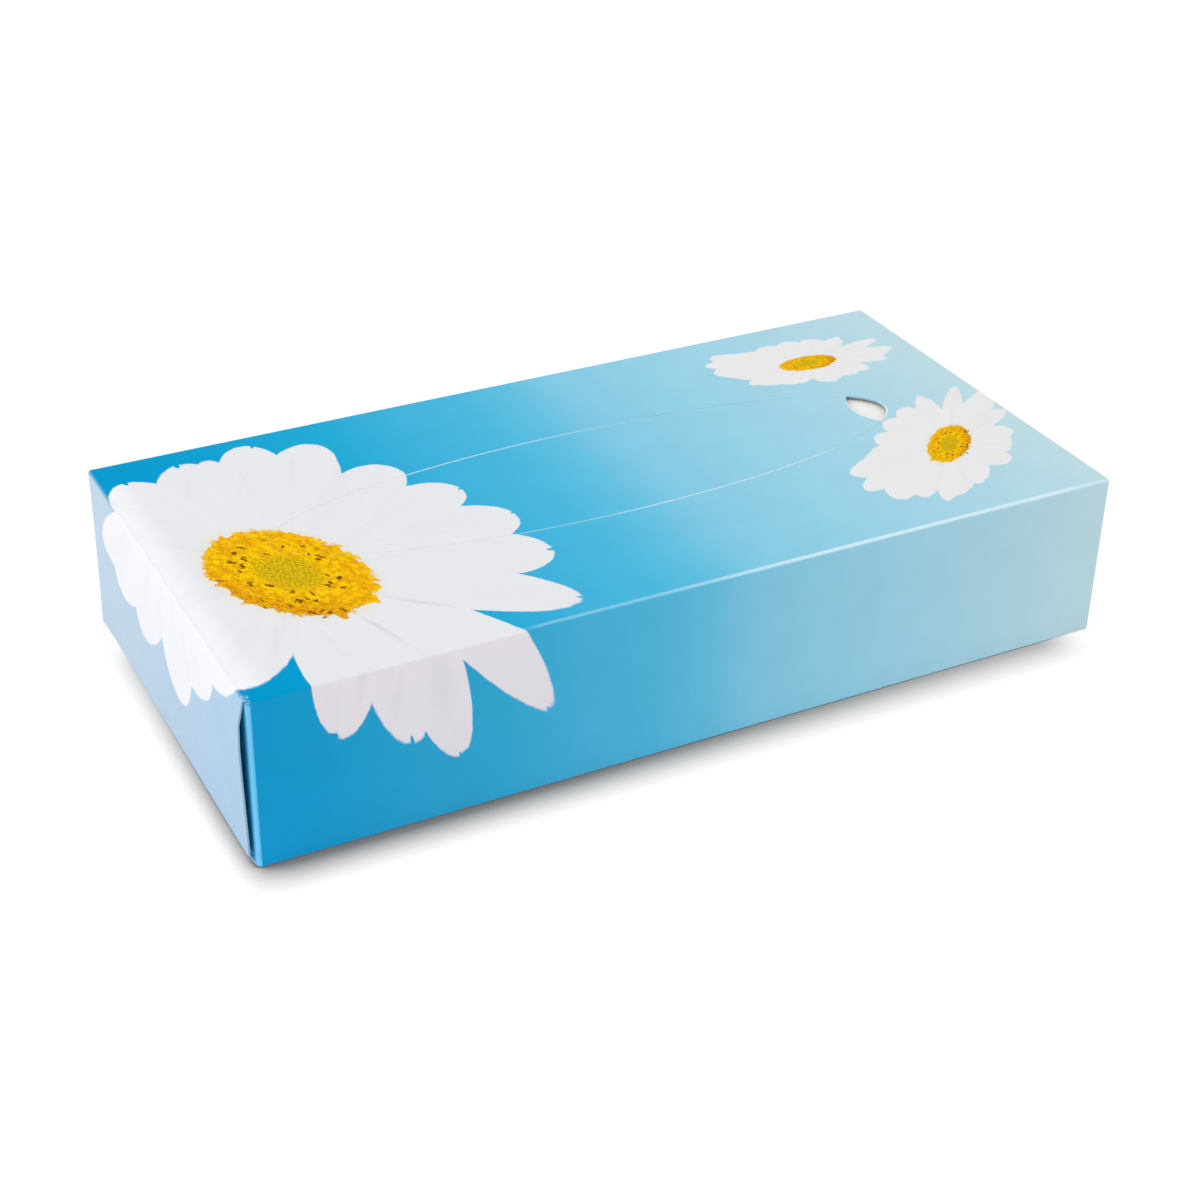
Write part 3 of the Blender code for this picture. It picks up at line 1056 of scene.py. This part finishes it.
class Rule:
    """A Geometry Nodes tree being put together, with named inputs for its sizes."""

    def __init__(self, name, inputs):
        self.tree = bpy.data.node_groups.new(name, "GeometryNodeTree")
        face = self.tree.interface
        face.new_socket("Geometry", in_out="INPUT", socket_type="NodeSocketGeometry")
        for title, kind in inputs:
            face.new_socket(title, in_out="INPUT", socket_type="NodeSocket" + kind)
        face.new_socket("Geometry", in_out="OUTPUT", socket_type="NodeSocketGeometry")
        self.given = self.tree.nodes.new("NodeGroupInput")
        self.result = self.tree.nodes.new("NodeGroupOutput")

    def size(self, title):
        return self.given.outputs[title]

    def add(self, kind, settings, values, output=0):
        node = self.tree.nodes.new(kind)
        for name, setting in settings.items():
            setattr(node, name, setting)
        for place, value in values.items():
            if isinstance(value, bpy.types.NodeSocket):
                self.tree.links.new(value, node.inputs[place])
            else:
                node.inputs[place].default_value = value
        return node.outputs[output]

    def finish(self, geometry, material):
        """Ends the tree in Realize Instances and Set Material."""
        real = self.add("GeometryNodeRealizeInstances", {}, {"Geometry": geometry})
        dressed = self.add(
            "GeometryNodeSetMaterial", {}, {"Geometry": real, "Material": self.size(material)}
        )
        self.tree.links.new(dressed, self.result.inputs[0])
        return self.tree


def follow_rule(obj, tree, sizes):
    """Runs a tree on an object with its inputs set by identifier, and leaves a plain mesh."""
    modifier = obj.modifiers.new(tree.name, "NODES")
    modifier.node_group = tree
    for item in tree.interface.items_tree:
        if item.item_type == "SOCKET" and item.in_out == "INPUT" and item.name in sizes:
            modifier[item.identifier] = sizes[item.name]
    made = as_modified(obj)
    obj.modifiers.remove(modifier)
    obj.data = made
    return obj


def perforation_rule():
    """Slit cutters spaced along an ellipse, from one length along it to another."""
    rule = Rule(
        "perforation_along_oval",
        (
            ("Radii", "Vector"), ("Middle", "Vector"), ("Start", "Float"), ("End", "Float"),
            ("Slits", "Int"), ("Slit Size", "Vector"), ("Material", "Material"),
        ),
    )
    circle = rule.add("GeometryNodeCurvePrimitiveCircle", {}, {"Resolution": 1440, "Radius": 1.0})
    oval = rule.add(
        "GeometryNodeTransform", {}, {"Geometry": circle, "Scale": rule.size("Radii")}
    )
    run = rule.add(
        "GeometryNodeTrimCurve",
        {"mode": "LENGTH"},
        {"Curve": oval, 4: rule.size("Start"), 5: rule.size("End")},
    )
    spots = rule.add(
        "GeometryNodeResampleCurve", {"mode": "COUNT"}, {"Curve": run, "Count": rule.size("Slits")}
    )
    slit = rule.add("GeometryNodeMeshCube", {}, {"Size": rule.size("Slit Size")})
    way = rule.add("GeometryNodeInputTangent", {}, {})
    turn = rule.add(
        "FunctionNodeAlignRotationToVector", {"axis": "X", "pivot_axis": "Z"}, {"Vector": way}
    )
    slits = rule.add(
        "GeometryNodeInstanceOnPoints", {}, {"Points": spots, "Instance": slit, "Rotation": turn}
    )
    placed = rule.add(
        "GeometryNodeTransform", {}, {"Geometry": slits, "Translation": rule.size("Middle")}
    )
    return rule.finish(placed, "Material")


def stack_rule():
    """One leaf repeated up the stack, each a little out of line with the others."""
    rule = Rule(
        "leaves_up_the_stack",
        (
            ("Leaves", "Int"), ("Rise", "Vector"), ("Drift", "Vector"), ("Counter Drift", "Vector"),
            ("Seed", "Int"), ("Material", "Material"),
        ),
    )
    line = rule.add(
        "GeometryNodeMeshLine",
        {"mode": "OFFSET"},
        {"Count": rule.size("Leaves"), "Offset": rule.size("Rise")},
    )
    drift = rule.add(
        "FunctionNodeRandomValue",
        {"data_type": "FLOAT_VECTOR"},
        {0: rule.size("Counter Drift"), 1: rule.size("Drift"), "Seed": rule.size("Seed")},
    )
    moved = rule.add("GeometryNodeSetPosition", {}, {"Geometry": line, "Offset": drift})
    leaves = rule.add(
        "GeometryNodeInstanceOnPoints", {}, {"Points": moved, "Instance": rule.size("Geometry")}
    )
    return rule.finish(leaves, "Material")


# Cutting the oval

def oval_spot(angle):
    """A point on the tear-off oval, measured from its middle."""
    return Vector((math.cos(angle) * OVAL_LENGTH / 2, math.sin(angle) * OVAL_WIDTH / 2))


def thumb_tip():
    """The angle round the oval at which the thumb hole's inner arc meets it, and the
    length along the oval up to there and all the way round."""
    middle = Vector((PUNCH_MIDDLE, 0))
    run, at_tip, tip = 0, 0, 0
    before = oval_spot(0)
    for step in range(1, OVAL_TRACE_STEPS + 1):
        angle = math.tau * step / OVAL_TRACE_STEPS
        after = oval_spot(angle)
        run += (after - before).length
        before = after
        if not tip and (after - middle).length >= THUMB_BULGE_RADIUS:
            tip, at_tip = angle, run
    return tip, at_tip, run


def thumb_cutter(tip):
    """A lens-shaped prism: the oval's right end outside, the round punch inside."""
    outer = [oval_spot(tip * (2 * i / THUMB_STEPS - 1)) for i in range(THUMB_STEPS + 1)]
    middle = Vector((PUNCH_MIDDLE, 0))
    high = math.atan2(*(oval_spot(tip) - middle).yx)
    low = math.tau - high
    inner = []
    for i in range(1, THUMB_STEPS):
        turn = high + (low - high) * i / THUMB_STEPS
        inner.append(middle + Vector((math.cos(turn), math.sin(turn))) * THUMB_BULGE_RADIUS)
    ring = outer + inner
    high_y = oval_spot(tip).y
    ring = [p + Vector(THUMB_SLANT) * ((p.y + high_y) / (2 * high_y)) for p in ring]
    count = len(ring)
    half = CUT_DEPTH / 2
    verts = [(p.x, p.y + OVAL_SET_BACK, TOP_MIDDLE - half) for p in ring]
    verts += [(p.x, p.y + OVAL_SET_BACK, TOP_MIDDLE + half) for p in ring]
    faces = [tuple(reversed(range(count))), tuple(range(count, 2 * count))]
    faces += [(i, (i + 1) % count, (i + 1) % count + count, i + count) for i in range(count)]
    mesh = bpy.data.meshes.new("thumb_cutter")
    mesh.from_pydata(verts, [], faces)
    return mesh


def cut_with(piece, cutters):
    """Cuts with each cutter in turn and leaves a plain mesh."""
    for cutter in cutters:
        cut = piece.modifiers.new(cutter.name, "BOOLEAN")
        cut.operation = "DIFFERENCE"
        cut.solver = "EXACT"
        cut.material_mode = "TRANSFER"
        cut.object = cutter
    made = as_modified(piece)
    piece.modifiers.clear()
    piece.data = made
    for cutter in cutters:
        bpy.data.objects.remove(cutter, do_unlink=True)


# Where the sheet lies on the map for baking: the outer side nearly fills it, the
# inner side is squeezed into a strip at its right, and the cut edges share a patch
BAKE_SPAN = 350
BAKE_MARGIN_U = 46
BAKE_MARGIN_V = 176
INNER_LEFT = 0.925
INNER_SQUEEZE = 0.2 / 3
CORE_PATCH = ((0.93, 0.972), (0.99, 0.972), (0.99, 0.994), (0.93, 0.994))


def lay_out_for_bake(mesh):
    """Gives the mesh a second map, on which the sheet lies once and flat."""
    mesh.uv_layers.new(name="OFBake")
    sheet = mesh.uv_layers["blank"].data
    bake = mesh.uv_layers["OFBake"].data
    for face in mesh.polygons:
        for turn, loop in enumerate(face.loop_indices):
            u, v = sheet[loop].uv
            across = (u + BAKE_MARGIN_U) / BAKE_SPAN
            up = (v + BAKE_MARGIN_V) / BAKE_SPAN
            if face.material_index == CORE_SLOT:
                across, up = CORE_PATCH[turn % 4]
            elif face.material_index == INSIDE_SLOT:
                across = INNER_LEFT + INNER_SQUEEZE * across
            bake[loop].uv = (across, up)


# Greatest angles, in degrees, over which the board and the leaves are shaded as smooth
BOARD_SMOOTH = 35
LEAF_SMOOTH = 50


def smooth(mesh, angle):
    mesh.shade_smooth()
    mesh.set_sharp_from_angle(angle=math.radians(angle))


def make_carton():
    """The folded and printed carton, with the oval's slits and thumb hole cut."""
    mesh = mesh_of(fold_sheet())
    core = plain_board("board_pulp", PULP, PULP_SHADE, INKED_PULP)
    for material in (
        printed_board("printed_field"),
        printed_board("printed_big_daisy", BIG_FLOWER),
        printed_board("printed_back_daisy", BACK_FLOWER),
        printed_board("printed_front_daisy", FRONT_FLOWER),
        plain_board("board_inside", BOARD_INSIDE, BOARD_INSIDE_SHADE),
        core,
    ):
        mesh.materials.append(material)
    carton = show("folded_carton", mesh)

    tip, to_tip, all_round = thumb_tip()
    first = to_tip + SLIT_PITCH / 2
    last = all_round - to_tip - SLIT_PITCH / 2
    slits = follow_rule(
        show("perforation", bpy.data.meshes.new("perforation")),
        perforation_rule(),
        {
            "Radii": (OVAL_LENGTH / 2, OVAL_WIDTH / 2, 1),
            "Middle": (0, OVAL_SET_BACK, TOP_MIDDLE),
            "Start": first,
            "End": last,
            "Slits": round((last - first) / SLIT_PITCH) + 1,
            "Slit Size": (SLIT_LENGTH, SLIT_WIDTH, CUT_DEPTH),
            "Material": core,
        },
    )
    thumb = show("thumb_hole", thumb_cutter(tip))
    thumb.data.materials.append(core)
    cut_with(carton, [thumb, slits])
    lay_out_for_bake(carton.data)
    smooth(carton.data, BOARD_SMOOTH)
    return carton


# Tissues

def leaf_section(thickness):
    """A folded leaf cut across: flat above and below, round at both sides."""
    half_y = LEAF_ACROSS / 2 - thickness / 2
    section = []
    for side, height in ((1, thickness), (-1, 0)):
        for i in range(LEAF_GRID_ACROSS + 1):
            section.append((side * half_y * (2 * i / LEAF_GRID_ACROSS - 1), height))
        for turn in (60, 30, 0, -30, -60):
            angle = math.radians(turn)
            out = half_y + math.cos(angle) * thickness / 2
            section.append((side * out, thickness / 2 * (1 + side * math.sin(angle))))
    return section


def leaf_mesh(thickness):
    """One folded leaf: a thin slab whose two long sides are round folds."""
    section = leaf_section(thickness)
    count = len(section)
    verts = []
    for column in range(LEAF_GRID_ALONG + 1):
        x = LEAF_ALONG / 2 * (2 * column / LEAF_GRID_ALONG - 1)
        verts += [(x, y, z) for y, z in section]
    faces = []
    for column in range(LEAF_GRID_ALONG):
        start = column * count
        for i in range(count):
            j = (i + 1) % count
            faces.append((start + i, start + count + i, start + count + j, start + j))
    faces.append(tuple(range(count)))
    faces.append(tuple(range(LEAF_GRID_ALONG * count, (LEAF_GRID_ALONG + 1) * count))[::-1])
    mesh = bpy.data.meshes.new("tissues")
    mesh.from_pydata(verts, [], faces)
    mesh.update()
    return mesh


def make_tissues():
    """The stack, its top leaves waving a little and lifted under the thumb hole."""
    pitch = (STACK_TOP - STACK_FOOT) / LEAVES
    stack = follow_rule(
        show("tissues", leaf_mesh(pitch * LEAF_FILL)),
        stack_rule(),
        {
            "Leaves": LEAVES,
            "Rise": (0, 0, pitch),
            "Drift": LEAF_DRIFT,
            "Counter Drift": tuple(-way for way in LEAF_DRIFT),
            "Seed": STACK_SEED,
            "Material": tissue_paper("tissue_paper"),
        },
    )
    for vert in stack.data.vertices:
        height = vert.co.z / (STACK_TOP - STACK_FOOT)
        from_thumb = (vert.co.xy - Vector(THUMB_SPOT)).length / THUMB_SPOT_REACH
        rise = THUMB_SPOT_RISE * ease(1 - from_thumb)
        for along, across, depth, tall in STACK_WAVES:
            rise += tall * noise.noise(Vector((vert.co.x * along, vert.co.y * across, depth)))
        vert.co.z = STACK_FOOT + vert.co.z + height ** 2 * rise
    smooth(stack.data, LEAF_SMOOTH)
    return stack


# Studio

# Half the sides of the floor and of its part near the box
FLOOR_HALF = 3
NEAR_HALF_X = 0.15
NEAR_HALF_Y = 0.09


def make_floor():
    """A square floor in nine parts, with the box on the middle one."""
    across = (-FLOOR_HALF, -NEAR_HALF_X, NEAR_HALF_X, FLOOR_HALF)
    along = (-FLOOR_HALF, -NEAR_HALF_Y, NEAR_HALF_Y, FLOOR_HALF)
    corners = [(x, y, 0) for y in along for x in across]
    faces = [(i, i + 1, i + 5, i + 4) for i in range(11) if i % 4 < 3]
    mesh = bpy.data.meshes.new("studio_floor")
    mesh.from_pydata(corners, [], faces)
    mesh.polygons[4].material_index = 1
    floor = show("studio_floor", mesh)
    mesh.materials.append(studio_floor("studio_floor", False))
    mesh.materials.append(studio_floor("studio_floor_by_the_box", True))


def make_light():
    """An even sky that looks white, and the softboxes."""
    world = bpy.data.worlds.new("studio")
    bpy.context.scene.world = world
    sky = Finish(world)
    light = sky.add("ShaderNodeBackground", {}, {"Color": SKY_COLOUR, "Strength": SKY_STRENGTH})
    white = sky.add("ShaderNodeBackground", {}, {"Color": (1, 1, 1, 1), "Strength": 1})
    either = sky.add("ShaderNodeMixShader", {}, (seen_or_mirrored(sky), light, white))
    sky.add("ShaderNodeOutputWorld", {}, {"Surface": either})

    for name, place, power, width, height in SOFTBOXES:
        softbox = bpy.data.lights.new(name, "AREA")
        softbox.shape = "RECTANGLE"
        softbox.size = width
        softbox.size_y = height
        softbox.energy = power
        lamp = show(name, softbox)
        lamp.location = place
        toward = Vector(SOFTBOX_AIM) - lamp.location
        lamp.rotation_euler = toward.to_track_quat("-Z", "Y").to_euler()


def make_camera():
    """The camera, turned a little about its own line of sight."""
    azimuth = math.radians(CAMERA_AZIMUTH)
    elevation = math.radians(CAMERA_ELEVATION)
    roll = math.radians(CAMERA_ROLL)
    back = Vector(
        (
            math.sin(azimuth) * math.cos(elevation),
            -math.cos(azimuth) * math.cos(elevation),
            math.sin(elevation),
        )
    )
    right = (-back).cross(Vector((0, 0, 1))).normalized()
    up = right.cross(-back)
    rolled_right = right * math.cos(roll) - up * math.sin(roll)
    rolled_up = right * math.sin(roll) + up * math.cos(roll)
    lens = bpy.data.cameras.new("camera")
    lens.lens = LENS
    lens.sensor_width = FILM_WIDTH
    lens.clip_start = 0.01
    camera = show("camera", lens)
    turned = Matrix((rolled_right, rolled_up, back)).transposed().to_4x4()
    camera.matrix_world = Matrix.Translation(Vector(CAMERA_AIM) + back * CAMERA_DISTANCE) @ turned
    bpy.context.scene.camera = camera


make_camera()
make_light()
make_floor()
bpy.context.scene.view_settings.view_transform = "Standard"

carton = make_carton()
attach(carton, "root")
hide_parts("carton")

tissues = make_tissues()
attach(tissues, "root")
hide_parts("tissue_stack")
